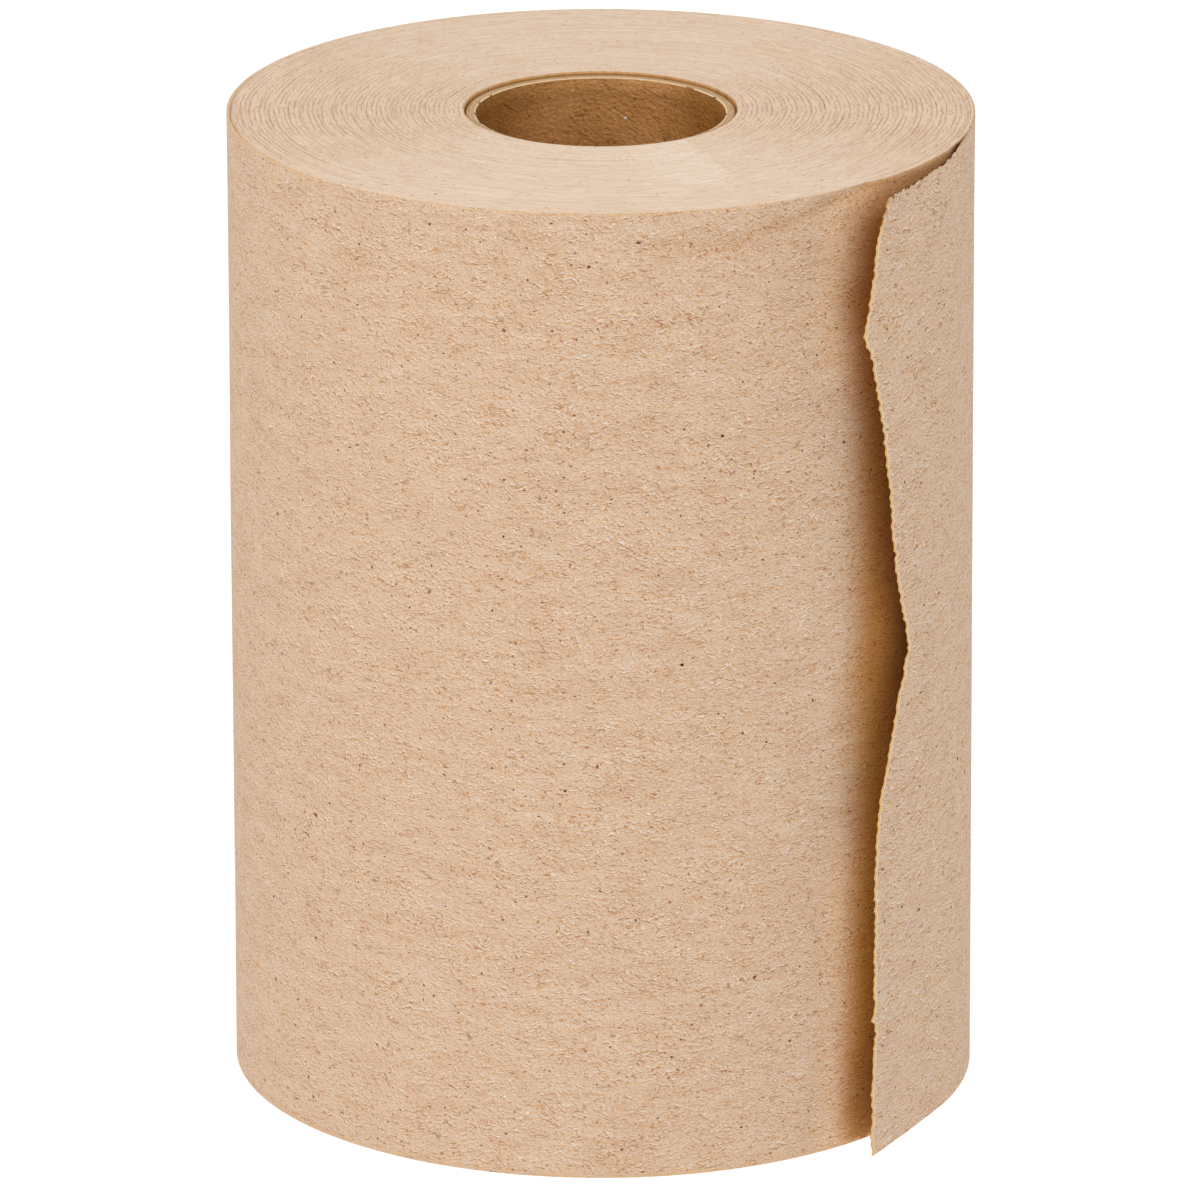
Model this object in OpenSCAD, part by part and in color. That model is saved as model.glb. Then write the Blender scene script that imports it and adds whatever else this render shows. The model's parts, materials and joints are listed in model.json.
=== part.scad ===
// Paper towel roll: one strip of brown crepe paper wound on a cardboard core tube.
// It stands on its end. The origin is on the core's axis at the lower end face, and +Z runs up the axis.

/* [Winding] */
// Width of the paper strip, which is the roll's height as it stands
web_w = 203; // [100:1:280]
// Diameter over the wound turns
roll_d = 152; // [115:1:220]

/* [Core tube] */
// Bore of the cardboard tube
core_bore_d = 50.8; // [38:0.1:60]
// Wall of the cardboard tube
core_wall = 2.1; // [1:0.1:4]
// Depth of each end of the tube below the end face of the winding
core_inset = 0.8; // [0.2:0.1:4]
// Radial gap between the tube and the first turn
core_gap = 0.2; // [0.1:0.05:1]
// Chamfer that the saw leaves on the tube's outer edges
core_chamfer = 0.3; // [0.1:0.1:0.8]

/* [Turns that show on the end faces] */
// Distance from one crest of the wound turns to the next
turn_pitch = 3.5; // [2:0.1:6]
// Depth of the valleys below the crests
turn_depth = 0.7; // [0.1:0.05:1]
// Depth of the crests below the flat bands beside them
crest_drop = 0.05; // [0.02:0.01:0.3]
// Flat band between the first crest and the inner turn
inner_band = 1; // [0.5:0.1:4]
// Flat band between the last crest and the rim
rim_band = 1.4; // [1:0.1:4]

/* [Loose tail] */
// Thickness of the crepe sheet
sheet_t = 0.25; // [0.15:0.05:0.5]
// Direction, seen from the axis, where the outer turn starts to come away
leave_angle = 45; // [0:1:90]
// How much wider the loosened turn curls than the roll
slack = 3.2; // [1:0.1:8]
// Angle that the loosened turn covers before the sheet relaxes
loose_sweep = 70; // [40:1:90]
// Radius of the relaxed stretch at the end of the sheet
relaxed_r = 400; // [150:10:900]
// Length of the relaxed stretch, up to the tip that reaches out furthest
relaxed_l = 38; // [24:1:60]

/* [Torn end] */
// Furthest that the torn edge falls back behind its tip
tear_back = 20; // [0:0.5:22]
// Distance from one fibre point of the torn edge to the next
nibble_pitch = 3; // [2:0.5:8]
// Depth of the bites between the fibre points
nibble_depth = 0.5; // [0:0.1:1.5]

/* [Hidden] */
paper_colour = [0.84, 0.73, 0.61];
card_colour = [0.60, 0.44, 0.27];

roll_r = roll_d / 2;
core_r = core_bore_d / 2 + core_wall;
first_turn_r = core_r + core_gap;
cut_over = 1;

// Crests in the valley pattern, and the radius where the spiral starts
crest_room = roll_r - rim_band - first_turn_r - inner_band;
turns = floor(crest_room / turn_pitch) - 1;
spiral_start_r = roll_r - rim_band - (turns + 1) * turn_pitch;
// The valley lies this far along each pitch, so one flank is long and the other is steep
valley_at = 0.75;

// The sheet's root lies this deep under the roll's surface where it starts
root_sink = 0.2;
loose_r = roll_r + slack - sheet_t;
relaxed_sweep = (relaxed_l + cut_over) / relaxed_r * 180 / PI;
loose_steps = ceil(loose_sweep / 2.5);
relaxed_steps = 4;

// The torn line from bottom to top: [share of the web's width, share of tear_back]
tear_line = [
    [0, 0.35], [0.15, 0.29], [0.33, 0.39], [0.38, 0.46], [0.42, 0.62], [0.47, 0.77], [0.52, 1],
    [0.61, 0.71], [0.74, 0.48], [0.81, 0.29], [0.87, 0], [0.92, 0.18], [0.98, 0.32], [1, 0.44]
];
nibbles = round(web_w / nibble_pitch);
points_per_nibble = 3;
tear_steps = nibbles * points_per_nibble;
// Swing of the fibre points up and down, so that their spacing isn't regular
nibble_swing = 50;
swings_per_web = 9;

module cardboard_core() {
    core_h = web_w - 2 * core_inset;
    bore_r = core_bore_d / 2;
    color(card_colour)
    translate([0, 0, core_inset])
    rotate_extrude($fn = 120)
    polygon([
        [bore_r, 0], [core_r - core_chamfer, 0], [core_r, core_chamfer],
        [core_r, core_h - core_chamfer], [core_r - core_chamfer, core_h], [bore_r, core_h]
    ]);
}

// One radial section of the valleys, reaching above the face, with its first crest at radius r
module valley_section(r) {
    last = r + turns * turn_pitch;
    flanks = [for (k = [0 : turns - 1]) each [
        [r + k * turn_pitch, -crest_drop],
        [r + (k + valley_at) * turn_pitch, -crest_drop - turn_depth]
    ]];
    polygon(concat([[r, cut_over]], flanks, [[last, -crest_drop], [last, cut_over]]));
}

// The valleys run outwards in a clockwise spiral that ends where the outer turn comes away.
// It is drawn with half circles about two centres that lie half a pitch apart.
module spiral_valleys() {
    rotate([0, 0, leave_angle]) {
        translate([-turn_pitch / 4, 0, 0])
        rotate([0, 0, 180])
        rotate_extrude(angle = 180, $fn = 120)
        valley_section(spiral_start_r + turn_pitch / 4);

        translate([turn_pitch / 4, 0, 0])
        rotate_extrude(angle = 180, $fn = 120)
        valley_section(spiral_start_r + turn_pitch * 3 / 4);
    }
}

module wound_turns() {
    difference() {
        cylinder(h = web_w, r = roll_r, $fn = 180);
        translate([0, 0, -cut_over]) cylinder(h = web_w + 2 * cut_over, r = first_turn_r, $fn = 120);
        translate([0, 0, web_w]) spiral_valleys();
        mirror([0, 0, 1]) spiral_valleys();
    }
}

function on_circle(r, a) = [r * cos(a), r * sin(a)];
function reversed(v) = [for (i = [len(v) - 1 : -1 : 0]) v[i]];

// One face of the sheet in plan, clockwise: the loosened turn and then the relaxed stretch
function sheet_face(offset) = let (
    relaxed_centre = on_circle(loose_r - relaxed_r, -loose_sweep)
) concat(
    [for (i = [0 : loose_steps]) on_circle(loose_r + offset, -loose_sweep * i / loose_steps)],
    [for (i = [1 : relaxed_steps])
        relaxed_centre + on_circle(relaxed_r + offset, -loose_sweep - relaxed_sweep * i / relaxed_steps)]
);

// How far the torn edge lies behind its tip at a share f of the web's width
function set_back(f) =
    tear_back * lookup(f, tear_line)
    + nibble_depth * abs(sin(180 * nibbles * f + nibble_swing * sin(360 * swings_per_web * f)));

// What was torn off, as a plate across the relaxed stretch, from the torn edge outwards
module torn_away() {
    plate_t = 8;
    beyond = -relaxed_l - 2 * cut_over;
    edge = [for (i = [0 : tear_steps]) let (f = i / tear_steps) [set_back(f) - relaxed_l, f * web_w]];
    translate([-plate_t / 2, 0, 0])
    rotate([90, 0, 90])
    linear_extrude(height = plate_t)
    polygon(concat(
        [[beyond, -cut_over], [edge[0][0], -cut_over]],
        edge,
        [[edge[tear_steps][0], web_w + cut_over], [beyond, web_w + cut_over]]
    ));
}

module loose_tail() {
    rotate([0, 0, leave_angle])
    translate([-slack - root_sink, 0, 0])
    difference() {
        linear_extrude(height = web_w)
        polygon(concat(sheet_face(sheet_t), reversed(sheet_face(0))));

        rotate([0, 0, -loose_sweep]) translate([loose_r, 0, 0]) torn_away();
    }
}

module paper_roll() {
    color(paper_colour)
    union() {
        wound_turns();
        loose_tail();
    }
}

cardboard_core();
paper_roll();
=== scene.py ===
# Looks of the paper towel roll: brown crepe paper on a cardboard core, its outer turn loosened and torn.
# Every length is in millimetres until a piece is finished, when its mesh is scaled to metres.
import json
import math
import random

import bmesh
import bpy
from mathutils import Euler, Matrix, Vector, noise


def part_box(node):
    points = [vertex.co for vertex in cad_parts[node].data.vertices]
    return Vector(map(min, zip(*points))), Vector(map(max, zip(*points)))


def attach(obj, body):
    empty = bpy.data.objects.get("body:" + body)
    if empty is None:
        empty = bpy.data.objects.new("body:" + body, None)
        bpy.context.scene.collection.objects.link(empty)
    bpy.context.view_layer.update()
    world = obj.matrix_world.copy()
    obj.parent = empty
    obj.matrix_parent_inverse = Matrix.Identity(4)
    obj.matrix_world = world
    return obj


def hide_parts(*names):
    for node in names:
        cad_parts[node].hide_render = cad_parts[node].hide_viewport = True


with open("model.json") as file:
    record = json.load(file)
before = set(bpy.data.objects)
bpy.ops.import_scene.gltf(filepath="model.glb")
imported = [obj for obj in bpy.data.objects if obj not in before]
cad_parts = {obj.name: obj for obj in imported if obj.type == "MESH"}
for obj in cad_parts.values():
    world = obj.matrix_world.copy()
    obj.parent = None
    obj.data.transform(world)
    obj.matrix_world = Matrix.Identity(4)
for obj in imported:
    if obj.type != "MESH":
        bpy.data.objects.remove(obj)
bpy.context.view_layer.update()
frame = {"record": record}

MM = 0.001
FULL_TURN = 2 * math.pi

# Points this close together are one point, and points this close to an end face lie on it
MERGE_WITHIN = 2e-4
ON_FACE = 1e-3

# The roll and its core, as the frame has them
roll_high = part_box("paper_roll")[1]
core_low, core_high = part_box("cardboard_core")
WEB_W = roll_high[2] / MM
ROLL_R = roll_high[1] / MM
CORE_R = core_high[0] / MM
CORE_LOW = core_low[2] / MM
CORE_HIGH = core_high[2] / MM
BORE_R = next(m["dims"]["r_mm"] for m in frame["record"]["mounts"] if m["name"] == "core_bore")
CORE_GAP = 0.2
FIRST_TURN_R = CORE_R + CORE_GAP
CORE_CHAMFER = 0.3
CORE_LIP = 0.3
BORE_CUTS = 60

# The turns on the end faces: a spiral of crests with narrow valleys between, from the inner band to the rim
TURN_PITCH = 1.35
VALLEY_SHARE = 0.13
ROWS_PER_TURN = 3
INNER_BAND = 0.35
RIM_BAND = 1.5
FACE_IN = FIRST_TURN_R + INNER_BAND
FACE_OUT = ROLL_R - RIM_BAND
TURNS = math.ceil((FACE_OUT - FACE_IN) / TURN_PITCH) + 1
ROUND_STEPS = 360
DOUBLINGS = 3
FIRST_TURN_CHAMFER = 0.12

# The end faces are spun from one turn further in, and the spiral then pulls their points out
SPUN_IN = FACE_IN - TURN_PITCH

# The turns' relief fades out over this distance beside the bands; the depths of the bands and the rim
BAND_FADE = 0.8
BAND_DROP, RIM_DROP = 0.05, 0.03

# The rim beside them: (distance outside the spiral, depth), and the gap between the last two turns
RIM_PROFILE = ((0.0, 0.0), (0.35, 0.0), (0.62, 0.0), (0.95, 0.0), (1.3, 0.0), (1.5, 0.16))
GROOVE_AT = 0.62
GROOVE_DEPTH = 1.3
GROOVE_OPENS_TOP, GROOVE_OPENS_FOOT = math.radians(184), math.radians(60)

# The wall's top and foot have finer rows than its middle: height of each stretch, and the cuts in it
WALL_TOP, WALL_FOOT = 16, 8
TOP_CUTS, MIDDLE_CUTS, FOOT_CUTS = 18, 20, 4
DEEPEST_DENT = 1.3

# The loosened turn and the tail, on the same two arcs as the solid
LEAVE = math.radians(45)
SLACK = 3.2
ROOT_SINK = 0.2
SHEET_T = 0.25
LOOSE_R = ROLL_R + SLACK - SHEET_T
LOOSE_SWEEP = math.radians(70)
RELAXED_R = 400
TAIL_ROWS = 480
TAIL_COLUMNS = 90

# The columns crowd towards the torn edge by this power
CROWDING = 1.8

# Fibre points of the torn edge: shortest and longest distance, and shallowest and deepest bite between them
FIBRE_SPACING = (1.6, 2.8)
BITE_DEPTHS = (0.35, 0.95)
TEAR_SEED = 12

# Width of the strip along the torn edge that is painted as a glow of light through the thin paper
EDGE_BAND = 1.2

# Height below the top edge of the tail where its wear fades out, and how high the sheet clears the floor
WEAR_REACH = 8
FLOOR_CLEARANCE = 0.02

# The torn edge from bottom to top: (height, length past the loosened turn)
TORN_LINE = (
    (0, 30.7), (3.5, 31.6), (8.6, 31.4), (13.5, 31.7), (19.9, 31.1), (26.4, 30.7), (28.5, 30.8),
    (29.7, 32.2), (31.2, 30.8), (35.9, 31.2), (40.6, 31.0), (50, 30.8), (56.2, 31.0), (65.2, 30.3),
    (72, 29.5), (75.9, 28.9), (80.5, 27), (84.7, 25.7), (90.5, 24), (95.4, 22.5), (99.7, 20.4),
    (103, 19.1), (105.4, 18.3), (108.9, 19.3), (113, 20.9), (117.6, 22.4), (123, 24), (128.1, 25.1),
    (140.4, 26.9), (148.5, 28.4), (155.9, 30), (163.3, 32.2), (168.6, 33.8), (170.8, 34.8),
    (173, 36.5), (175.4, 37.7), (180, 36.4), (184.6, 35.1), (193.8, 33.2), (198.4, 31.7), (203, 28.8),
)

# The sheet hugs the roll at the top and springs away later: (length past the loosened turn, outward shift).
# The shift grows from nothing at the foot and is full at a height.
TOP_SHIFT = (
    (-75, 0), (-60, -0.25), (-50, -0.5), (-40, -0.78), (-30, -1.05), (-22, -1.3), (-16, -1.45),
    (-12, -1.3), (-7, -0.5), (-1, 0.5), (8, 1.3), (14, 1.4), (20, 1.2), (26, 0.8), (38, 0.5),
)
SHIFT_FULL_AT = 185

# Painted shade, golden brown, on the wall behind the torn edge: (height, arc past the edge) where it starts
# and is full
GAP_SHADE_STARTS = (
    (0, -5), (60, -3.5), (72, -4.5), (81, -9), (93, -15), (105, -16.5), (115, -13), (126, -11.5),
    (137, -9), (149, -6), (160, -4), (171, -1.5), (203, -2),
)
GAP_SHADE_FULL = (
    (0, 4), (28, 5), (60, 6.5), (72, 6), (81, 5), (93, 1), (105, -5.5), (115, -0.5), (126, 3.5),
    (149, 5), (160, 6), (171, 7), (186, 9), (203, 9.5),
)

# The painted shade fades out again where the tail lies on the roll. The wall just beside the edge is
# painted paler, a painted light, except near the middle of the notch, and a strip at the rims is worn.
GAP_SHADE_FADES = (110, 60)
PAINTED_LIGHT_FROM, PAINTED_LIGHT_TO = (-10, -1), (9, 1)
NOTCH_Z, NOTCH_REACH = 115, (40, 58)
RIM_STRIP = 0.4

# The painted shadow in the slit under the rim reaches up to this line: its height at y = 0, and its rise
# along y
SLIT_HEIGHT, SLIT_SLOPE = 203.2, 0.085

# How far the tail's top edge is worn down towards its torn corner: (length past the loosened turn, depth)
WORN_CORNER = ((-24, 0.12), (10, 0.25), (20, 0.4), (25, 0.6), (29, 0.8), (33, 0.9))

# The crease under the rim: (angle in degrees, height), and how wide it and the hollow beside it are
CREASE = (
    (-80, 196.2), (-76.5, 195.7), (-72.7, 195.0), (-69.7, 195.3), (-66.6, 196.5), (-63.5, 197.4),
    (-60.3, 198.0), (-57, 199.0), (-53.3, 200.4), (-49.6, 201.6), (-45, 202.4),
)
CREASE_FROM = 186
CREASE_W, HOLLOW_W = 1.1, 3.5

# Painted shade of the gaps between the turns, as brown rings on the end faces: their distance, and the
# radius at which their breaks are measured round
RING_PITCH, RING_ROUND = 0.98, 40

# A straight line across the top face with a paler side, and a white fleck in the bore
PALE_LINE_START, PALE_LINE_END = Vector((15.9, -20.6, 0)), Vector((27.2, -50.7, 0))
FLECK = (5.1, 24.9, 193.8)

# Tones as (place, colour), the two ends first and then those between: the paper's face from a dark fibre to
# a pale one, its specks, its cut edges and the board of the bore
CREPE_TONES = (
    (0.0, (0.300, 0.130, 0.052)), (1.0, (0.865, 0.795, 0.695)),
    (0.2, (0.485, 0.272, 0.150)), (0.35, (0.595, 0.374, 0.230)), (0.5, (0.688, 0.489, 0.334)),
    (0.65, (0.745, 0.578, 0.425)), (0.8, (0.792, 0.662, 0.522)),
)
SPECK_TONES = (
    (0.0, (0.560, 0.310, 0.150)), (1.0, (0.020, 0.008, 0.004)), (0.4, (0.400, 0.165, 0.050)),
    (0.75, (0.270, 0.090, 0.016)), (0.93, (0.130, 0.042, 0.008)),
)
END_TONES = (
    (0.0, (0.430, 0.240, 0.120)), (1.0, (0.960, 0.860, 0.740)),
    (0.25, (0.650, 0.440, 0.285)), (0.5, (0.790, 0.600, 0.440)), (0.75, (0.870, 0.705, 0.550)),
)
BORE_TONES = (
    (0.0, (0.180, 0.070, 0.015)), (1.0, (0.850, 0.480, 0.200)),
    (0.25, (0.420, 0.180, 0.048)), (0.5, (0.600, 0.285, 0.088)), (0.75, (0.690, 0.350, 0.125)),
)

# Tints and colours of the crepe sheet
# Painted light on the ripples' upper sides, and painted shade on their lower sides, a tint shared with the
# dark fibres
RIPPLE_PAINTED_LIGHT_TINT = (0.965, 1.01, 1.12)
RIPPLE_PAINTED_SHADE_AND_FIBRE_TINT = (1.04, 0.962, 0.835)
HAIR_BROWN = (0.24, 0.12, 0.05)
# Painted light on the wall just beside the torn edge
PAINTED_LIGHT_BESIDE_GAP_TINT = (1.22, 1.20, 1.12)
# Painted shade on all that the tail hides, below and above the notch and at the foot, and painted light
# near the top of the hidden wall
GAP_SHADE_BELOW_NOTCH = (0.78, 0.55, 0.18)
GAP_SHADE_ABOVE_NOTCH = (0.665, 0.41, 0.14)
GAP_SHADE_FOOT = (0.64, 0.43, 0.17)
GAP_PAINTED_LIGHT_TOP = (1.10, 0.96, 0.68)
# Painted shadow in the slit under the rim
SLIT_SHADOW_TINT = (0.34, 0.22, 0.10)
# Painted shade in the crease
CREASE_SHADE_TINT = (0.93, 0.87, 0.79)
WORN_RIM_BROWN = (0.76, 0.48, 0.26)
# Painted glow of light through the thin torn edge: pale, then an orange line
THIN_EDGE_PAINTED_GLOW = (0.93, 0.80, 0.62)
TORN_EDGE_PAINTED_GLOW_ORANGE = (0.78, 0.43, 0.12)

# Colours on the end faces, and painted shade on the first turn where it faces the core
# Painted shade of the gaps between the turns
RING_SHADE_BROWN = (0.57, 0.30, 0.155)
# Painted shade in the valleys between the turns
VALLEY_SHADE_BROWN = (0.56, 0.32, 0.17)
DOT_BROWN = (0.30, 0.11, 0.03)
RIM_LINE_BROWN = (0.79, 0.53, 0.30)
# Painted shade on the first turn's inner edge, deeper down and at the top
MOUTH_SHADE_DEEP = (0.50, 0.30, 0.12)
MOUTH_SHADE_TOP = (0.84, 0.62, 0.34)

# Colours and tints of the core: its bore, its outside and its cut ends; painted light and shade on the
# bore's creases, its sides and ends, the tube's outside and the cut ends' edges
# Painted highlight beside each crease in the bore, and the crease lines, partly painted shade
BORE_CREASE_HIGHLIGHT = (0.85, 0.50, 0.22)
BORE_CREASE_SHADE = (0.12, 0.045, 0.008)
BORE_SPECK_BROWN = (0.10, 0.035, 0.008)
# Painted shade on the bore's left and right sides
BORE_SIDE_SHADE_TINT = (0.64, 0.55, 0.30)
# Painted shade near the bore's ends
BORE_END_SHADE_TINT = (0.80, 0.78, 0.74)
# Painted shade on the tube's outside, for the gap to the paper
CORE_OUTSIDE_SHADE_BROWN = (0.22, 0.12, 0.05)
FLECK_WHITE = (0.95, 0.90, 0.82)
PLY_DARK = (0.48, 0.30, 0.155)
PLY_PALE = (0.61, 0.42, 0.235)
# Painted shade at the outer edge and a painted highlight at the inner edge of the cut ends
CORE_OUTER_EDGE_SHADE = (0.16, 0.09, 0.04)
CORE_INNER_EDGE_HIGHLIGHT = (0.92, 0.66, 0.41)

# The camera, the light and the floor, in metres and millimetres of lens
CAMERA_PITCH, CAMERA_DISTANCE = math.radians(18.417), 2.307
CAMERA_AIM_X, CAMERA_AIM_Z = -0.00014, 0.09789
CAMERA_LENS, SENSOR_W = 336.6, 36
LIGHT_AIM = Vector((0, 0, 0.1))
SKY_STRENGTH = 0.607
FLOOR_R, FLOOR_GLOW = 6, 0.9


def clamp(value, low, high):
    return max(low, min(high, value))


def smooth(value, low, high):
    share = clamp((value - low) / (high - low), 0, 1)
    return share * share * (3 - 2 * share)


def wavy(x, y, z):
    return noise.noise(Vector((x, y, z)))


def along(line, place):
    """The value at a place on a line of (place, value) pairs."""
    for (p0, v0), (p1, v1) in zip(line, line[1:]):
        if place <= p1:
            return v0 + (v1 - v0) * clamp((place - p0) / (p1 - p0), 0, 1)
    return line[-1][1]


def finished(name, bm, materials):
    """Makes the piece from its mesh, at the origin, riding on the roll."""
    bmesh.ops.scale(bm, vec=(MM, MM, MM), verts=bm.verts)
    bmesh.ops.recalc_face_normals(bm, faces=bm.faces)
    for face in bm.faces:
        face.smooth = True
    mesh = bpy.data.meshes.new(name)
    bm.to_mesh(mesh)
    bm.free()
    for material in materials:
        mesh.materials.append(material)
    piece = bpy.data.objects.new(name, mesh)
    bpy.context.scene.collection.objects.link(piece)
    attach(piece, "root")
    return piece


class Finish:
    """A material's nodes, with short calls for what a paper or board finish is made of."""

    def __init__(self, name, roughness, specular):
        self.material = bpy.data.materials.new(name)
        self.material.use_nodes = True
        self.tree = self.material.node_tree
        self.shader = self.tree.nodes["Principled BSDF"]
        self.shader.inputs["Roughness"].default_value = roughness
        self.shader.inputs["Specular IOR Level"].default_value = specular
        self.place = self.vector("SCALE", self.add("ShaderNodeTexCoord").outputs["Object"], scale=1 / MM)

    def add(self, kind, **settings):
        node = self.tree.nodes.new(kind)
        for key, value in settings.items():
            setattr(node, key, value)
        return node

    def put(self, socket, value):
        if isinstance(value, bpy.types.NodeSocket):
            self.tree.links.new(value, socket)
        elif value is not None:
            socket.default_value = value

    def add_linked(self, kind, value):
        node = self.add(kind)
        self.put(node.inputs[0], value)
        return node

    def math(self, operation, a, b=None, c=None):
        node = self.add("ShaderNodeMath", operation=operation)
        for socket, value in zip(node.inputs, (a, b, c)):
            self.put(socket, value)
        return node.outputs[0]

    def times(self, *values):
        """The product of two or more values."""
        product = values[0]
        for value in values[1:]:
            product = self.math("MULTIPLY", product, value)
        return product

    def plus(self, value, weight, base):
        """The value times its weight, on top of the base."""
        return self.math("MULTIPLY_ADD", value, weight, base)

    def swayed(self, grain, weight, base):
        """The base moved up and down by a grain about its middle."""
        return self.plus(self.math("SUBTRACT", grain, 0.5), weight, base)

    def vector(self, operation, a, b=None, scale=None):
        node = self.add("ShaderNodeVectorMath", operation=operation)
        self.put(node.inputs[0], a)
        self.put(node.inputs[1], b)
        if scale is not None:
            self.put(node.inputs["Scale"], scale)
        return node.outputs["Value" if operation in ("LENGTH", "DOT_PRODUCT", "DISTANCE") else "Vector"]

    def moved(self, place, offset):
        return self.vector("ADD", place, offset)

    def split(self, vector):
        return self.add_linked("ShaderNodeSeparateXYZ", vector).outputs

    def join(self, x, y, z):
        node = self.add("ShaderNodeCombineXYZ")
        for socket, value in zip(node.inputs, (x, y, z)):
            self.put(socket, value)
        return node.outputs[0]

    def grain(self, place, size, detail=2, rough=0.5, coloured=False):
        """Noise with features of that size; size may be one length or (x, y, z)."""
        if isinstance(size, tuple):
            place, size = self.vector("MULTIPLY", place, tuple(1 / s for s in size)), 1
        node = self.add("ShaderNodeTexNoise")
        self.put(node.inputs["Vector"], place)
        node.inputs["Scale"].default_value = 1 / size
        node.inputs["Detail"].default_value = detail
        node.inputs["Roughness"].default_value = rough
        return node.outputs["Color" if coloured else "Fac"]

    def shifted(self, place, size, reach, offset=(0, 0, 0)):
        """The place moved about by noise of that size, by up to reach."""
        colour = self.grain(self.moved(place, offset), size, 1, coloured=True)
        swing = self.vector("SUBTRACT", colour, (0.5, 0.5, 0.5))
        if isinstance(reach, tuple):
            return self.vector("ADD", place, self.vector("MULTIPLY", swing, reach))
        return self.vector("ADD", place, self.vector("SCALE", swing, scale=reach))

    def between(self, value, low, high):
        """0 below low, 1 above high, smooth between; low may be the higher one."""
        node = self.add("ShaderNodeMapRange", interpolation_type="SMOOTHSTEP")
        self.put(node.inputs["Value"], value)
        node.inputs["From Min"].default_value = min(low, high)
        node.inputs["From Max"].default_value = max(low, high)
        node.inputs["To Min"].default_value = 0 if low < high else 1
        node.inputs["To Max"].default_value = 1 if low < high else 0
        return node.outputs["Result"]

    def fibre_lines(self, place, size, width, detail=1):
        """Thin wiggly lines where the noise crosses its middle."""
        off = self.math("ABSOLUTE", self.math("SUBTRACT", self.grain(place, size, detail), 0.5))
        return self.between(off, width, 0)

    def curls(self, place, size, width):
        """Short curly fibres: wiggly lines that come and go."""
        patches = self.between(self.grain(self.moved(place, (9, 2, 40)), size, 0), 0.34, 0.50)
        return self.times(self.fibre_lines(place, size, width), patches)

    def specks(self, place, cell, radius):
        """Small specks, one to a cell, a little longer than high, and a number that is drawn for each."""
        node = self.add("ShaderNodeTexVoronoi")
        self.put(node.inputs["Vector"], self.vector("MULTIPLY", place, (0.8, 0.8, 1)))
        node.inputs["Scale"].default_value = 1 / cell
        shape = self.between(node.outputs["Distance"], radius / cell, radius / cell * 0.55)
        return shape, self.split(node.outputs["Color"])[0]

    def mixed(self, share, a, b, blend="MIX"):
        node = self.add("ShaderNodeMix", data_type="RGBA", blend_type=blend)
        self.put(node.inputs[0], share)
        for socket, value in ((node.inputs[6], a), (node.inputs[7], b)):
            self.put(socket, (*value, 1) if isinstance(value, tuple) else value)
        return node.outputs[2]

    def tinted(self, share, colour, tint):
        return self.mixed(share, colour, tint, "MULTIPLY")

    def ramp(self, value, stops):
        """Colours at their places from 0 to 1, blended between."""
        node = self.add_linked("ShaderNodeValToRGB", value)
        bar = node.color_ramp
        for (place, colour), stop in zip(stops, (bar.elements[0], bar.elements[1])):
            stop.position, stop.color = place, (*colour, 1)
        for place, colour in stops[2:]:
            bar.elements.new(place).color = (*colour, 1)
        return node.outputs["Color"]

    def attribute(self, name):
        return self.add("ShaderNodeAttribute", attribute_name=name).outputs["Fac"]

    def bump(self, height, distance, strength):
        node = self.add("ShaderNodeBump")
        self.put(node.inputs["Height"], height)
        node.inputs["Distance"].default_value = distance * MM
        node.inputs["Strength"].default_value = strength
        self.put(self.shader.inputs["Normal"], node.outputs[0])


def crepe_side(name):
    """The face of the crepe sheet, with its specks, the painted shade behind the tail, and worn and torn
    edges, the torn edge with a painted glow.
    """
    f = Finish(name, roughness=0.85, specular=0.25)
    on_tail = f.attribute("on_tail")
    calm = f.plus(on_tail, -0.05, 1.0)
    spread = f.vector("MULTIPLY", f.place, f.mixed(on_tail, (1.0, 1.0, 1.0), (0.62, 0.62, 0.85)))
    flowing = f.shifted(spread, 16, (0, 0, 6))
    wiggled = f.shifted(flowing, 1.1, (0.6, 0.6, 0.85), (31, 7, 3))
    above, colour = crepe_colour(f, flowing, wiggled, on_tail, calm)
    colour = with_specks(f, colour, flowing, wiggled, calm)
    colour = with_gap_shade(f, colour)
    colour = with_edges(f, colour)
    f.put(f.shader.inputs["Base Color"], colour)
    f.bump(above, 0.06, 0.35)
    return f.material


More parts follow.
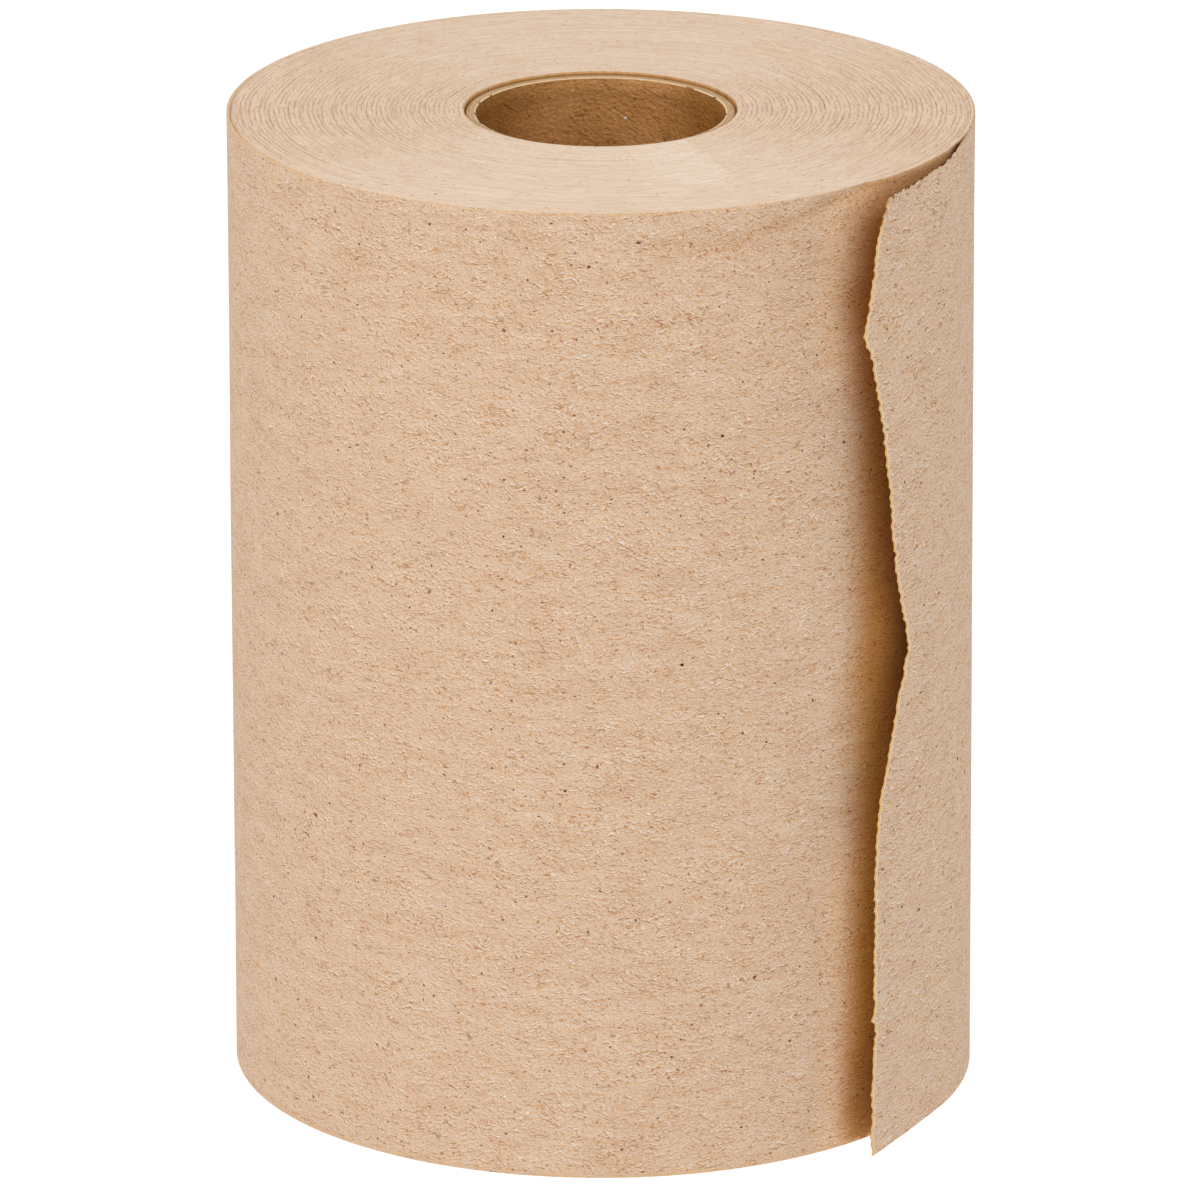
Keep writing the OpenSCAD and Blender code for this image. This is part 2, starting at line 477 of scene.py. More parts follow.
def crepe_colour(f, flowing, wiggled, on_tail, calm):
    """Fine level ripples with painted light above and painted shade below, curly fibres each with a painted
    shadow under it, dark fibres and mottling; gives the ripples too.
    """
    ripple = (0.68, 0.68, 0.44)
    above = f.grain(wiggled, ripple, 0.7, 0.75)
    below = f.grain(f.moved(wiggled, (0.05, -0.05, 0.13)), ripple, 0.7, 0.75)
    # Painted light and shade of the ripples: the grain here less the grain a little lower
    relief = f.math("SUBTRACT", above, below)
    fine = f.grain(wiggled, (0.42, 0.42, 0.24), 1)
    dark = f.fibre_lines(wiggled, (2.6, 2.6, 0.62), 0.045)
    dark = f.times(dark, f.between(f.grain(flowing, (2.0, 2.0, 1.0), 1), 0.44, 0.62))
    mottle = f.grain(f.place, (9, 9, 2.6), 2)
    tone = f.plus(relief, 0.42, 0.5)
    for strand, start in (((2.9, 2.9, 1.25), (0, 0, 0)), ((1.9, 1.9, 0.95), (50, 20, 90))):
        place = f.moved(wiggled, start)
        tone = f.plus(f.curls(place, strand, 0.036), 0.28, tone)
        # A painted shadow just below each pale curl
        shade = f.curls(f.moved(place, (0.08, -0.08, 0.18)), strand, 0.04)
        tone = f.plus(shade, -0.26, tone)
    tone = f.swayed(fine, 0.55, tone)
    tone = f.swayed(mottle, 0.25, tone)
    tone = f.plus(dark, -0.26, tone)
    tone = f.swayed(tone, calm, f.plus(on_tail, 0.02, 0.5))
    colour = f.ramp(tone, CREPE_TONES)
    # The ripples' painted shade and the dark fibres turn warmer, and their painted light turns paler
    warm = f.between(f.plus(dark, -0.2, relief), 0.13, -0.13)
    return above, f.tinted(1.0, colour, f.mixed(warm, RIPPLE_PAINTED_LIGHT_TINT, RIPPLE_PAINTED_SHADE_AND_FIBRE_TINT))


def with_specks(f, colour, flowing, wiggled, calm):
    """Brown specks in two sizes, of which only the rarer ones show, and a few long hairs."""
    for cell, radius, start, rare in ((1.9, 0.26, (0, 0, 0), 0.12), (6.5, 0.42, (8, 3, 5), 0.62)):
        specks, lot = f.specks(f.moved(wiggled, start), cell, radius)
        shown = f.times(specks, f.math("GREATER_THAN", lot, rare), calm)
        colour = f.mixed(shown, colour, f.ramp(lot, SPECK_TONES))
    hair = f.fibre_lines(f.moved(wiggled, (5, 80, 12)), (7, 7, 2.4), 0.014, 2)
    hair = f.times(hair, f.between(f.grain(flowing, (5, 5, 3), 1), 0.58, 0.68))
    return f.mixed(f.times(hair, 0.6), colour, HAIR_BROWN)


def with_gap_shade(f, colour):
    """Painted shade, golden brown, on all that the tail hides, with painted light beside the torn edge and
    near the top of the hidden wall, a painted shadow deepest at the slit under the rim, and painted shade
    in the crease.
    """
    y, height = f.split(f.place)[1:]
    outwards = f.vector("NORMALIZE", f.vector("MULTIPLY", f.place, (1, 1, 0)))
    normal = f.add("ShaderNodeNewGeometry").outputs["Normal"]
    # The tail's inner face gets the same painted shade
    inner_face = f.between(f.vector("DOT_PRODUCT", outwards, normal), -0.2, -0.5)
    hidden = f.math("MAXIMUM", f.attribute("painted_gap_shade"), inner_face)
    # Painted light on the wall just beside the torn edge
    colour = f.tinted(f.attribute("painted_light_beside_gap"), colour, PAINTED_LIGHT_BESIDE_GAP_TINT)
    # Painted shade, golden brown, below and above the notch and at the foot, and painted light near the top
    depth = f.mixed(f.between(height, 72, 108), GAP_SHADE_BELOW_NOTCH, GAP_SHADE_ABOVE_NOTCH)
    depth = f.mixed(f.between(height, 30, 5), depth, GAP_SHADE_FOOT)
    depth = f.mixed(f.between(height, 192, 202), depth, GAP_PAINTED_LIGHT_TOP)
    colour = f.tinted(hidden, colour, depth)
    # Painted shadow in the slit under the rim, on the hidden wall
    slit = f.between(f.math("SUBTRACT", height, f.plus(y, SLIT_SLOPE, SLIT_HEIGHT)), 0.5, 0.0)
    slit = f.math("MAXIMUM", f.times(slit, f.between(y, -50, -36)), f.between(y, -31, -25))
    slit = f.times(slit, f.between(height, 196, 198))
    colour = f.tinted(f.times(slit, hidden), colour, SLIT_SHADOW_TINT)
    # Painted shade in the crease and the hollow beside it
    return f.tinted(f.attribute("painted_crease_shade"), colour, CREASE_SHADE_TINT)


def with_edges(f, colour):
    """The brown worn edge at the rims, and at the torn edge a painted glow of light through the thin paper,
    pale and then an orange line.
    """
    ragged = f.between(f.grain(f.place, (1.6, 1.6, 20), 1), 0.32, 0.6)
    rim = f.times(f.between(f.attribute("at_rim"), 0.4, 0.75), ragged)
    colour = f.mixed(f.times(rim, 0.7), colour, WORN_RIM_BROWN)
    at_edge = f.attribute("at_edge")
    # Painted glow of light through the thin paper along the torn edge
    colour = f.mixed(f.times(f.between(at_edge, 0.1, 0.6), 0.55), colour, THIN_EDGE_PAINTED_GLOW)
    return f.mixed(f.times(f.between(at_edge, 0.68, 0.80), 0.9), colour, TORN_EDGE_PAINTED_GLOW_ORANGE)


def roll_ends(name):
    """The cut edges of the turns: paler, with fine wavy rings of painted shade between turns, painted shade
    in the valleys, painted light towards front and back, brown dots, a paler side beside a line across the
    face, and painted shade on the first turn's inner edge.
    """
    f = Finish(name, roughness=0.9, specular=0.2)
    x, y, z = f.split(f.place)
    flat = f.join(x, y, 0)
    radius = f.vector("LENGTH", flat)
    facing = f.split(f.vector("NORMALIZE", flat))
    ring = f.join(f.times(facing[0], RING_ROUND), f.times(facing[1], RING_ROUND), radius)
    ring = f.shifted(f.shifted(ring, 5, (0.0, 0.0, 0.8)), 1.1, (0.3, 0.3, 0.5))
    turns = f.grain(ring, (1.5, 1.5, 0.30), 1.5, 0.7)
    place_in_turn = f.math("FRACT", f.math("DIVIDE", f.split(ring)[2], RING_PITCH))
    lines = f.between(f.math("ABSOLUTE", f.math("SUBTRACT", place_in_turn, 0.5)), 0.15, 0.04)
    lines = f.times(lines, f.between(f.grain(ring, (5, 5, RING_PITCH), 1), 0.36, 0.52))
    dashes = f.fibre_lines(ring, (1.6, 1.6, 0.8), 0.05)
    dashes = f.times(dashes, f.between(f.grain(ring, (1.8, 1.8, 0.9), 1), 0.5, 0.62))
    blotch = f.grain(f.place, 11, 2)
    tone = f.swayed(turns, 0.75, 0.49)
    tone = f.swayed(blotch, 0.2, tone)
    # Painted light: the end faces lighter towards the front and, less, towards the back
    tone = f.plus(f.between(facing[1], -0.3, -0.95), 0.14, tone)
    tone = f.plus(f.between(facing[1], 0.3, 0.95), 0.08, tone)
    tone = f.plus(dashes, -0.18, tone)
    tone = f.plus(paler_beside_line(f, flat, radius, y), 0.12, tone)
    colour = f.ramp(tone, END_TONES)
    # The rings' painted shade fades towards the front and back
    fading = f.plus(f.math("ABSOLUTE", facing[1]), -0.6, 1.0)
    colour = f.mixed(f.times(lines, fading), colour, RING_SHADE_BROWN)
    # Painted shade in the valleys between the turns
    colour = f.mixed(f.times(f.attribute("in_valley"), 0.5), colour, VALLEY_SHADE_BROWN)
    specks, lot = f.specks(ring, 1.15, 0.19)
    colour = f.mixed(f.times(specks, f.between(lot, 0.35, 1)), colour, DOT_BROWN)
    breaks = f.between(f.grain(ring, (1.6, 1.6, 0.5), 1), 0.30, 0.55)
    rim = f.times(f.between(radius, ROLL_R - 0.8, ROLL_R - 0.5), breaks)
    rim = f.times(rim, f.plus(f.between(facing[0], 0.2, 0.7), -0.7, 1.0))
    colour = f.mixed(rim, colour, RIM_LINE_BROWN)
    # Painted shade, orange-brown, on the first turn's inner edge above the core
    mouth = f.between(radius, FIRST_TURN_R + 0.12, FIRST_TURN_R + 0.03)
    inner = f.mixed(f.between(z, WEB_W - 0.6, WEB_W - 0.35), MOUTH_SHADE_DEEP, MOUTH_SHADE_TOP)
    colour = f.tinted(mouth, colour, inner)
    f.put(f.shader.inputs["Base Color"], colour)
    f.bump(turns, 0.08, 0.7)
    return f.material


def paler_beside_line(f, flat, radius, y):
    """The paler side of a straight line across the top face, fading away from it."""
    line_direction = (PALE_LINE_END - PALE_LINE_START).normalized()
    past = f.vector("SUBTRACT", flat, tuple(PALE_LINE_START))
    off = f.vector("DOT_PRODUCT", past, (line_direction.y, -line_direction.x, 0))
    beside = f.times(f.between(off, -0.3, 0.3), f.between(off, 30, 3))
    return f.times(beside, f.between(radius, 62, 54), f.between(y, -12, -20))


def core_board(name):
    """Brown kraft board, with dark wiggly fibres, specks, and slanting creases in the bore; painted light
    and shade on its ripples and creases, painted shade on the bore's sides and near its ends, and on the
    tube's outside.
    """
    f = Finish(name, roughness=0.75, specular=0.25)
    x, y, z = f.split(f.place)
    wiggled = f.shifted(f.place, 1.5, 1.3)
    ripple = (1.0, 1.0, 0.7)
    above = f.grain(wiggled, ripple, 1.5, 0.65)
    below = f.grain(f.moved(wiggled, (0.15, 0, 0.24)), ripple, 1.5, 0.65)
    mottle = f.grain(f.place, 8, 2)
    # Painted light and shade on the board's ripples: the grain here less the grain a little lower
    tone = f.plus(f.math("SUBTRACT", above, below), 1.6, 0.60)
    tone = f.swayed(mottle, 0.7, tone)
    colour = f.ramp(tone, BORE_TONES)
    unrolled = unrolled_bore(f, x, y, z)
    strip = (26, 3.6, 1)
    patches = f.between(f.grain(unrolled, (6, 4, 1), 1), 0.52, 0.60)
    creases = f.times(f.fibre_lines(unrolled, strip, 0.022), patches)
    # A painted highlight on a line beside each crease; the crease lines are partly painted shade
    beside = f.times(f.fibre_lines(f.moved(unrolled, (0, 0.35, 0)), strip, 0.022), patches)
    colour = f.mixed(f.times(beside, 0.35), colour, BORE_CREASE_HIGHLIGHT)
    colour = f.mixed(f.times(creases, 0.6), colour, BORE_CREASE_SHADE)
    specks = f.specks(f.place, 2.3, 0.36)[0]
    colour = f.mixed(f.times(specks, 0.5), colour, BORE_SPECK_BROWN)
    # Painted shade: the bore darker towards its left and right sides
    side = f.math("DIVIDE", f.math("ABSOLUTE", x), BORE_R)
    colour = f.tinted(f.between(side, 0.35, 0.95), colour, BORE_SIDE_SHADE_TINT)
    # Painted shade: the bore darker within a few millimetres of its ends
    from_middle = f.math("ABSOLUTE", f.math("SUBTRACT", z, WEB_W / 2))
    from_end = f.math("SUBTRACT", WEB_W / 2, from_middle)
    colour = f.tinted(f.between(from_end, 9, 0.5), colour, BORE_END_SHADE_TINT)
    # Painted shade: the tube's outside dark, as the gap between it and the paper
    outside = f.between(f.vector("LENGTH", f.join(x, y, 0)), CORE_R - 0.3, CORE_R - 0.05)
    colour = f.mixed(outside, colour, CORE_OUTSIDE_SHADE_BROWN)
    fleck = f.between(f.vector("DISTANCE", f.place, FLECK), 0.42, 0.25)
    colour = f.mixed(fleck, colour, FLECK_WHITE)
    f.put(f.shader.inputs["Base Color"], colour)
    f.bump(f.math("SUBTRACT", above, creases), 0.1, 0.7)
    return f.material


def unrolled_bore(f, x, y, z):
    """Places on the bore's wall as if it lay flat, turned along the slant of the wound board."""
    slant = math.radians(33)
    round_wall = f.times(f.math("ARCTAN2", x, y), BORE_R)
    lengthways = f.math("SUBTRACT", f.times(round_wall, math.cos(slant)), f.times(z, math.sin(slant)))
    across = f.math("ADD", f.times(round_wall, math.sin(slant)), f.times(z, math.cos(slant)))
    return f.join(lengthways, across, 7)


def board_ends(name):
    """The cut ends of the tube: grey-tan, with faint rings of plies, a painted highlight at the inner edge
    and painted shade at the outer edge.
    """
    f = Finish(name, roughness=0.85, specular=0.2)
    x, y = f.split(f.place)[:2]
    flat = f.join(x, y, 0)
    radius = f.vector("LENGTH", flat)
    around = f.vector("SCALE", f.vector("NORMALIZE", flat), scale=12)
    plies = f.grain(f.moved(around, f.join(0, 0, radius)), (2, 2, 0.35), 1)
    colour = f.mixed(f.between(plies, 0.35, 0.65), PLY_DARK, PLY_PALE)
    # Painted shade at the outer edge, beside the gap to the paper
    colour = f.mixed(f.between(radius, CORE_R - 0.32, CORE_R - 0.05), colour, CORE_OUTER_EDGE_SHADE)
    # Painted highlight at the inner edge
    colour = f.mixed(f.between(radius, BORE_R + 0.45, BORE_R + 0.15), colour, CORE_INNER_EDGE_HIGHLIGHT)
    f.put(f.shader.inputs["Base Color"], colour)
    f.bump(plies, 0.08, 0.6)
    return f.material


def crease(angle, z):
    """How much a place on the wall lies in the crease, and how much in the hollow beside it."""
    if z < CREASE_FROM or not -1.6 < angle < -0.6:
        return 0.0, 0.0
    place = Vector((ROLL_R * angle, z))
    nearest = math.inf
    for (a0, z0), (a1, z1) in zip(CREASE, CREASE[1:]):
        start = Vector((ROLL_R * math.radians(a0), z0))
        leg = Vector((ROLL_R * math.radians(a1), z1)) - start
        share = clamp((place - start).dot(leg) / leg.length_squared, 0, 1)
        nearest = min(nearest, (place - start - leg * share).length)
    return math.exp(-(nearest / CREASE_W) ** 2), math.exp(-(nearest / HOLLOW_W) ** 2)


def wall_radius(angle, z):
    """Radius of the wound paper: nearly round, softly uneven, with the crease under the rim."""
    x, y = math.cos(angle), math.sin(angle)
    dent = 0.16 + 0.14 * wavy(x * 1.4, y * 1.4, z / 70) + 0.05 * wavy(x * 5, y * 5, z / 22 + 9)
    fold, hollow = crease(angle, z)
    return ROLL_R - clamp(dent + 0.45 * fold + 0.4 * hollow, 0, DEEPEST_DENT)


def spun_profile(bm, corners, cuts):
    """Draws a closed profile as corners joined by edges, cuts each edge, and turns it once round.

    One share is spun from the leave line, and doubled until it closes. Each point keeps how far round it
    lies, clockwise from above.
    """
    verts = [bm.verts.new((r * math.cos(LEAVE), r * math.sin(LEAVE), z)) for r, z in corners]
    edges = [bm.edges.new((a, b)) for a, b in zip(verts, verts[1:] + verts[:1])]
    for edge, count in zip(edges, cuts):
        if count:
            bmesh.ops.subdivide_edges(bm, edges=[edge], cuts=count)
    shares = 2 ** DOUBLINGS
    span = FULL_TURN / shares
    profile = list(bm.verts) + list(bm.edges)
    bmesh.ops.spin(bm, geom=profile, axis=(0, 0, -1), angle=span, steps=ROUND_STEPS // shares)
    turned = bm.verts.layers.float.new("turned")
    for vert in bm.verts:
        vert[turned] = max(0, math.remainder(LEAVE - math.atan2(vert.co.y, vert.co.x), FULL_TURN))
    for _ in range(DOUBLINGS):
        copy = bmesh.ops.duplicate(bm, geom=list(bm.verts) + list(bm.edges) + list(bm.faces))["geom"]
        added = [v for v in copy if isinstance(v, bmesh.types.BMVert)]
        bmesh.ops.rotate(bm, verts=added, matrix=Matrix.Rotation(-span, 3, "Z"))
        for vert in added:
            vert[turned] += span
        span *= 2
    return turned


def turn_relief(x, y, turn, in_valley):
    """Depth below the end face: each crest stands at its own height, with a valley beside it."""
    crest = 0.07 + 0.09 * wavy(x / 26, y / 26, turn * 1.31 + 80)
    crest += 0.03 * wavy(x / 4, y / 4, turn * 2.9 + 120)
    if not in_valley:
        return clamp(crest, 0, 0.4), 0.0
    swing = wavy(x / 17, y / 17, turn * 1.93) + 0.5 * wavy(x / 5, y / 5, turn * 2.7 + 40)
    deep = smooth(swing, -0.25, 0.55)
    return clamp(crest, 0, 0.4) + 0.03 + 0.14 * deep, deep


def rim_groove(angle, on_top):
    """Depth of the gap between the outermost turn and the next; it opens at the left of the roll."""
    opens_at = GROOVE_OPENS_TOP if on_top else GROOVE_OPENS_FOOT
    opening = GROOVE_DEPTH * smooth(math.cos(angle - opens_at), 0.86, 0.99)
    return opening + 0.10 * max(0, wavy(math.cos(angle) * 9, math.sin(angle) * 9, 3 if on_top else 7))


def paper_winding(side, ends, tips):
    """The wound turns as one closed body: wall, rims, both end faces with their spiral, and inner turn."""
    bm = bmesh.new()
    face_rows = TURNS * ROWS_PER_TURN - 1
    rim_cuts = [0] * (len(RIM_PROFILE) - 1)
    top = [(FACE_OUT + out, WEB_W - depth) for out, depth in RIM_PROFILE]
    bottom = [(r, WEB_W - z) for r, z in reversed(top)]
    corners = [(FIRST_TURN_R, FIRST_TURN_CHAMFER), (FIRST_TURN_R, WEB_W - FIRST_TURN_CHAMFER)]
    corners += [(SPUN_IN, WEB_W)] + top
    corners += [(ROLL_R, WEB_W - WALL_TOP), (ROLL_R, WALL_FOOT)] + bottom
    corners += [(SPUN_IN, 0)]
    cuts = [0, 0, face_rows] + rim_cuts + [TOP_CUTS, MIDDLE_CUTS, FOOT_CUTS] + rim_cuts + [face_rows, 0]
    turned = spun_profile(bm, corners, cuts)
    valley = bm.verts.layers.float.new("in_valley")
    end = bm.verts.layers.int.new("on_end")
    for vert in bm.verts:
        place_winding_vert(vert, vert[turned], valley, end)
    mark_wall(bm, turned, end, tips)
    bmesh.ops.remove_doubles(bm, verts=bm.verts, dist=MERGE_WITHIN)
    for face in bm.faces:
        face.material_index = 1 if all(v[end] for v in face.verts) else 0
    return finished("paper_winding", bm, [side, ends])


def place_winding_vert(vert, turned, valley, end):
    """Moves one point of the spun body to its place on the spiral, the rim or the wall."""
    r, z = vert.co.xy.length, vert.co.z
    angle = LEAVE - turned
    on_top, on_face = z > WEB_W / 2, z > WEB_W - ON_FACE or z < ON_FACE
    vert[end] = on_face or r < FACE_IN
    if on_face and r < FACE_OUT - ON_FACE:
        r, depth, vert[valley] = on_spiral(r, turned, on_top)
    elif on_face:
        r, depth, vert[valley] = on_rim(r, z, angle, on_top)
    elif r > FACE_IN:
        r = wall_radius(angle, z)
    if on_face:
        z = z - max(depth, 0) if on_top else z + max(depth, 0)
    vert.co = (r * math.cos(angle), r * math.sin(angle), z)


def on_spiral(r, turned, on_top):
    """A point of an end face, pulled out along the spiral: its radius, depth and how deep its valley is."""
    angle = LEAVE - turned
    row = round((r - SPUN_IN) / (FACE_OUT - SPUN_IN) * TURNS * ROWS_PER_TURN)
    turn, part = divmod(row, ROWS_PER_TURN)
    phase = (0, VALLEY_SHARE, 1 - VALLEY_SHARE)[part]
    spiral = turn + turned / FULL_TURN
    pitch = (FACE_OUT - FACE_IN) / (TURNS - 1)
    r = clamp(FACE_IN + (spiral - 1 + phase) * pitch, FACE_IN, FACE_OUT)
    own_number = spiral + (0 if on_top else 300)
    depth, deep = turn_relief(r * math.cos(angle), r * math.sin(angle), own_number, part == 0)
    fade = smooth(r, FACE_IN, FACE_IN + BAND_FADE) * smooth(r, FACE_OUT, FACE_OUT - BAND_FADE)
    return r, depth * fade + BAND_DROP * (1 - fade), deep * fade


def on_rim(r, z, angle, on_top):
    """A point of the rim: its radius, its depth and how far the last turn stands open there."""
    out = r - FACE_OUT
    depth, opening = BAND_DROP if out < 0.5 else RIM_DROP, 0.0
    if abs(out - GROOVE_AT) < 0.05:
        groove = rim_groove(angle, on_top)
        depth += groove
        opening = clamp(groove - 0.15, 0, 1)
    depth += 0.02 + 0.03 * wavy(math.cos(angle) * 60, math.sin(angle) * 60, r)
    return r - (ROLL_R - wall_radius(angle, z)) * out / RIM_BAND, depth, opening


def mark_wall(bm, turned, end, tips):
    """Marks the wall's points for the finish: painted shade behind the torn edge, painted light beside it,
    painted shade in the crease, and the worn rims.
    """
    gap = bm.verts.layers.float.new("painted_gap_shade")
    beside = bm.verts.layers.float.new("painted_light_beside_gap")
    crease_shade = bm.verts.layers.float.new("painted_crease_shade")
    rim = bm.verts.layers.float.new("at_rim")
    edge_angle = {}
    for vert in bm.verts:
        if vert[end]:
            continue
        z = round(vert.co.z, 1)
        if z not in edge_angle:
            point = tail_point(torn_edge(clamp(z, 0, WEB_W), tips), z, SHEET_T)
            edge_angle[z] = math.atan2(point.y, point.x)
        past = (math.atan2(vert.co.y, vert.co.x) - edge_angle[z]) * ROLL_R
        # Painted shade behind the torn edge, fading out where the tail lies on the roll
        vert[gap] = smooth(past, along(GAP_SHADE_STARTS, z), along(GAP_SHADE_FULL, z)) * smooth(past, *GAP_SHADE_FADES)
        # Painted light just beside the torn edge, except near the middle of the notch
        paler = smooth(past, *PAINTED_LIGHT_FROM) * smooth(past, *PAINTED_LIGHT_TO)
        vert[beside] = paler * smooth(abs(z - NOTCH_Z), *NOTCH_REACH)
        fold, hollow = crease(LEAVE - vert[turned], z)
        # How deep in the crease's painted shade
        vert[crease_shade] = 0.6 * fold + 0.4 * hollow
        vert[rim] = 1 if min(z, WEB_W - z) < RIM_STRIP else 0


def tail_plan(length, off):
    """A point of the sheet in plan, at a length past the loosened turn and so far off its inner face."""
    if length <= 0:
        angle, centre, r = -LOOSE_SWEEP - length / LOOSE_R, Vector((0, 0)), LOOSE_R + off
    else:
        angle, r = -LOOSE_SWEEP - length / RELAXED_R, RELAXED_R + off
        centre = Vector((math.cos(LOOSE_SWEEP), -math.sin(LOOSE_SWEEP))) * (LOOSE_R - RELAXED_R)
    point = centre + Vector((math.cos(angle), math.sin(angle))) * r
    point.x -= SLACK + ROOT_SINK
    point.rotate(Matrix.Rotation(LEAVE, 2))
    return point


def tail_point(length, height, off):
    """A point of the sheet in plan at a height; its upper part hugs the roll before it springs away."""
    shift = sum(along(TOP_SHIFT, length + step) for step in (-4, 0, 4)) / 3
    return tail_plan(length, off + shift * clamp(height / SHIFT_FULL_AT, 0, 1))


def fibre_tips(draw):
    """Heights of the points that stand out along the torn edge, with the depth of the bite above each."""
    tips, z = [], 0.0
    while z < WEB_W:
        tips.append((z, draw.uniform(*BITE_DEPTHS)))
        z += draw.uniform(*FIBRE_SPACING)
    return tips


def torn_edge(z, tips):
    """Length of the sheet at a height: the torn line with its bites between the points."""
    near = [t for t in tips if t[0] <= z][-1]
    following = [t[0] for t in tips if t[0] > z]
    gap = (following[0] if following else near[0] + 2.5) - near[0]
    bite = near[1] * math.sin(math.pi * clamp((z - near[0]) / gap, 0, 1)) ** 0.75
    return along(TORN_LINE, z) + 0.3 - bite + 0.12 * wavy(z * 2.3, 4, 7)


def loose_tail(side, tips, tufts):
    """The outer turn where it comes away, up to its torn edge; tufts are the bites of its top edge."""
    start = -LOOSE_R * LOOSE_SWEEP
    bm = bmesh.new()
    bmesh.ops.create_grid(bm, x_segments=TAIL_COLUMNS, y_segments=TAIL_ROWS, size=0.5)
    edge_layer = bm.verts.layers.float.new("at_edge")
    tail_layer = bm.verts.layers.float.new("on_tail")
    ends = {}
    for vert in bm.verts:
        share, height = vert.co.x + 0.5, (vert.co.y + 0.5) * WEB_W
        column, row = round(share * TAIL_COLUMNS), round((vert.co.y + 0.5) * TAIL_ROWS)
        if row not in ends:
            ends[row] = torn_edge(height, tips)
        share = 1 - (1 - share) ** CROWDING
        length = start + (ends[row] - start) * share
        loose = smooth(length, -30, 20)
        wave = loose * (0.5 * wavy(length / 34, height / 46, 2) + 0.12 * wavy(length / 9, height / 12, 5))
        curl = 0.25 * smooth(length, ends[row] - 2.5, ends[row]) * wavy(height / 5, 3, 8)
        point = tail_point(length, height, SHEET_T / 2 + wave + curl)
        worn = along(WORN_CORNER, length) + tufts[column] * loose
        z = max(height, FLOOR_CLEARANCE) - worn * smooth(height, WEB_W - WEAR_REACH, WEB_W)
        vert.co = (point.x, point.y, z)
        vert[edge_layer] = 1 - clamp((ends[row] - length) / EDGE_BAND, 0, 1)
        vert[tail_layer] = 1
    piece = finished("loose_tail", bm, [side])
    sheet = piece.modifiers.new("sheet", "SOLIDIFY")
    sheet.thickness = SHEET_T * MM
    sheet.offset = 0
    return piece


def core_tube(board, ends):
    """The cardboard tube, with the inner edge of its upper end softly nicked."""
    bm = bmesh.new()
    corners = [
        (BORE_R, CORE_LOW), (BORE_R, CORE_HIGH), (BORE_R + CORE_LIP, CORE_HIGH),
        (CORE_R - CORE_CHAMFER, CORE_HIGH), (CORE_R, CORE_HIGH - CORE_CHAMFER),
        (CORE_R, CORE_LOW + CORE_CHAMFER), (CORE_R - CORE_CHAMFER, CORE_LOW), (BORE_R + CORE_LIP, CORE_LOW),
    ]
    spun_profile(bm, corners, [BORE_CUTS, 0, 1, 0, 1, 0, 1, 0])
    bmesh.ops.remove_doubles(bm, verts=bm.verts, dist=MERGE_WITHIN)
    for vert in bm.verts:
        r = math.hypot(vert.co.x, vert.co.y)
        x, y = vert.co.x / r, vert.co.y / r
        if r < BORE_R + 0.01 and CORE_HIGH - vert.co.z < ON_FACE:
            nick = 0.12 + 0.25 * max(0, wavy(x * 9, y * 9, 5)) + 0.1 * wavy(x * 30, y * 30, 9)
            vert.co.z -= max(nick, 0)
    bm.normal_update()
    for face in bm.faces:
        face.material_index = 1 if abs(face.normal.z) > 0.85 else 0
    return finished("core_tube", bm, [board, ends])


def soft_light(name, place, size, watts):
    """A broad square light that faces the roll."""
    light = bpy.data.lights.new(name, "AREA")
    light.size = size
    light.energy = watts
    lamp = bpy.data.objects.new(name, light)
    lamp.location = place
    lamp.rotation_euler = (LIGHT_AIM - lamp.location).to_track_quat("-Z", "Y").to_euler()
    bpy.context.scene.collection.objects.link(lamp)


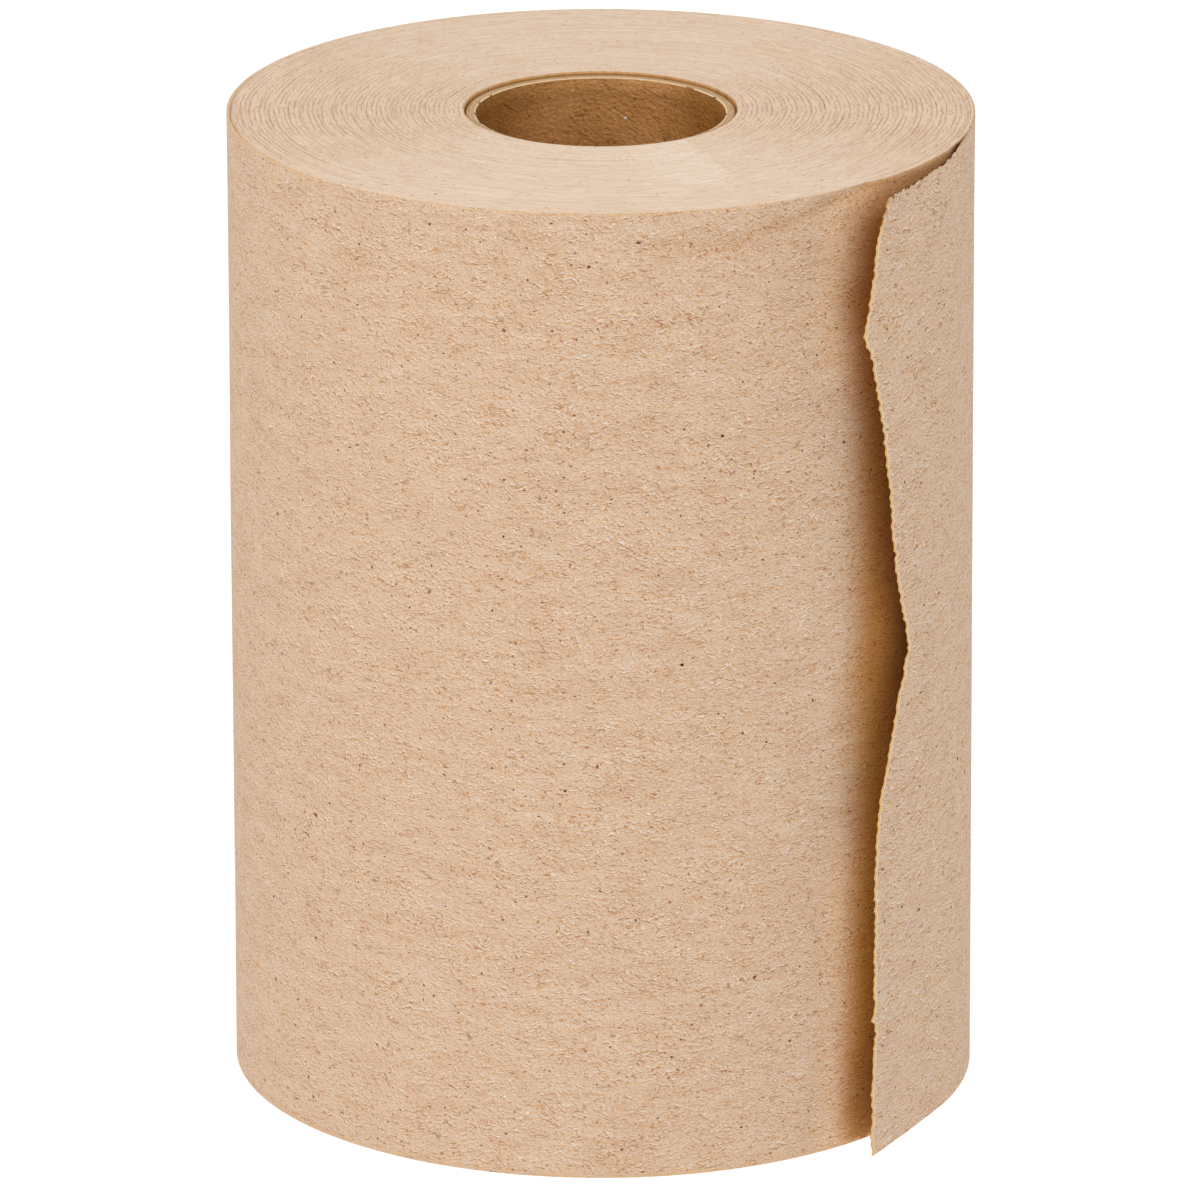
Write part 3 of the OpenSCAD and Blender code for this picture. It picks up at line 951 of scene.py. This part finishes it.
def pale_floor():
    """A round pale floor that glows a little, so that it goes over into the white round it."""
    floor_mesh = bpy.data.meshes.new("floor")
    bm = bmesh.new()
    bmesh.ops.create_circle(bm, cap_ends=True, segments=64, radius=FLOOR_R)
    bm.to_mesh(floor_mesh)
    bm.free()
    floor = bpy.data.objects.new("floor", floor_mesh)
    bpy.context.scene.collection.objects.link(floor)
    paint = bpy.data.materials.new("pale_floor")
    paint.use_nodes = True
    shader = paint.node_tree.nodes["Principled BSDF"]
    shader.inputs["Base Color"].default_value = (0.2, 0.2, 0.2, 1)
    shader.inputs["Roughness"].default_value = 0.9
    shader.inputs["Emission Color"].default_value = (1, 1, 1, 1)
    shader.inputs["Emission Strength"].default_value = FLOOR_GLOW
    floor_mesh.materials.append(paint)


def studio():
    """Soft light all round, and two broad lights from the upper left and the front."""
    world = bpy.data.worlds.new("studio")
    world.use_nodes = True
    sky = world.node_tree.nodes["Background"]
    sky.inputs["Color"].default_value = (1, 1, 1, 1)
    sky.inputs["Strength"].default_value = SKY_STRENGTH
    bpy.context.scene.world = world
    bpy.context.scene.view_settings.view_transform = "Standard"
    soft_light("upper_light", (-0.45, -0.9, 2.0), 1.6, 19.5)
    soft_light("front_light", (-1.3, -2.6, 1.1), 2.0, 3)


def front_camera():
    """The camera in front of the roll, looking down on it from a little above."""
    lens = bpy.data.cameras.new("camera")
    lens.sensor_width = SENSOR_W
    lens.lens = CAMERA_LENS
    lens.clip_end = 50
    camera = bpy.data.objects.new("camera", lens)
    back = CAMERA_DISTANCE * math.cos(CAMERA_PITCH)
    camera.location = (CAMERA_AIM_X, -back, CAMERA_AIM_Z + CAMERA_DISTANCE * math.sin(CAMERA_PITCH))
    camera.rotation_euler = Euler((math.pi / 2 - CAMERA_PITCH, 0, 0))
    bpy.context.scene.collection.objects.link(camera)
    bpy.context.scene.camera = camera


pale_floor()
studio()
front_camera()
side_finish = crepe_side("crepe_side")
end_finish = roll_ends("roll_ends")
draw = random.Random(TEAR_SEED)
tips = fibre_tips(draw)
tufts = [max(0, draw.gauss(0.15, 0.4)) for _ in range(TAIL_COLUMNS + 1)]
winding = paper_winding(side_finish, end_finish, tips)
loose_tail(side_finish, tips, tufts)
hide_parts("paper_roll")
tube = core_tube(core_board("core_board"), board_ends("board_ends"))
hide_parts("cardboard_core")
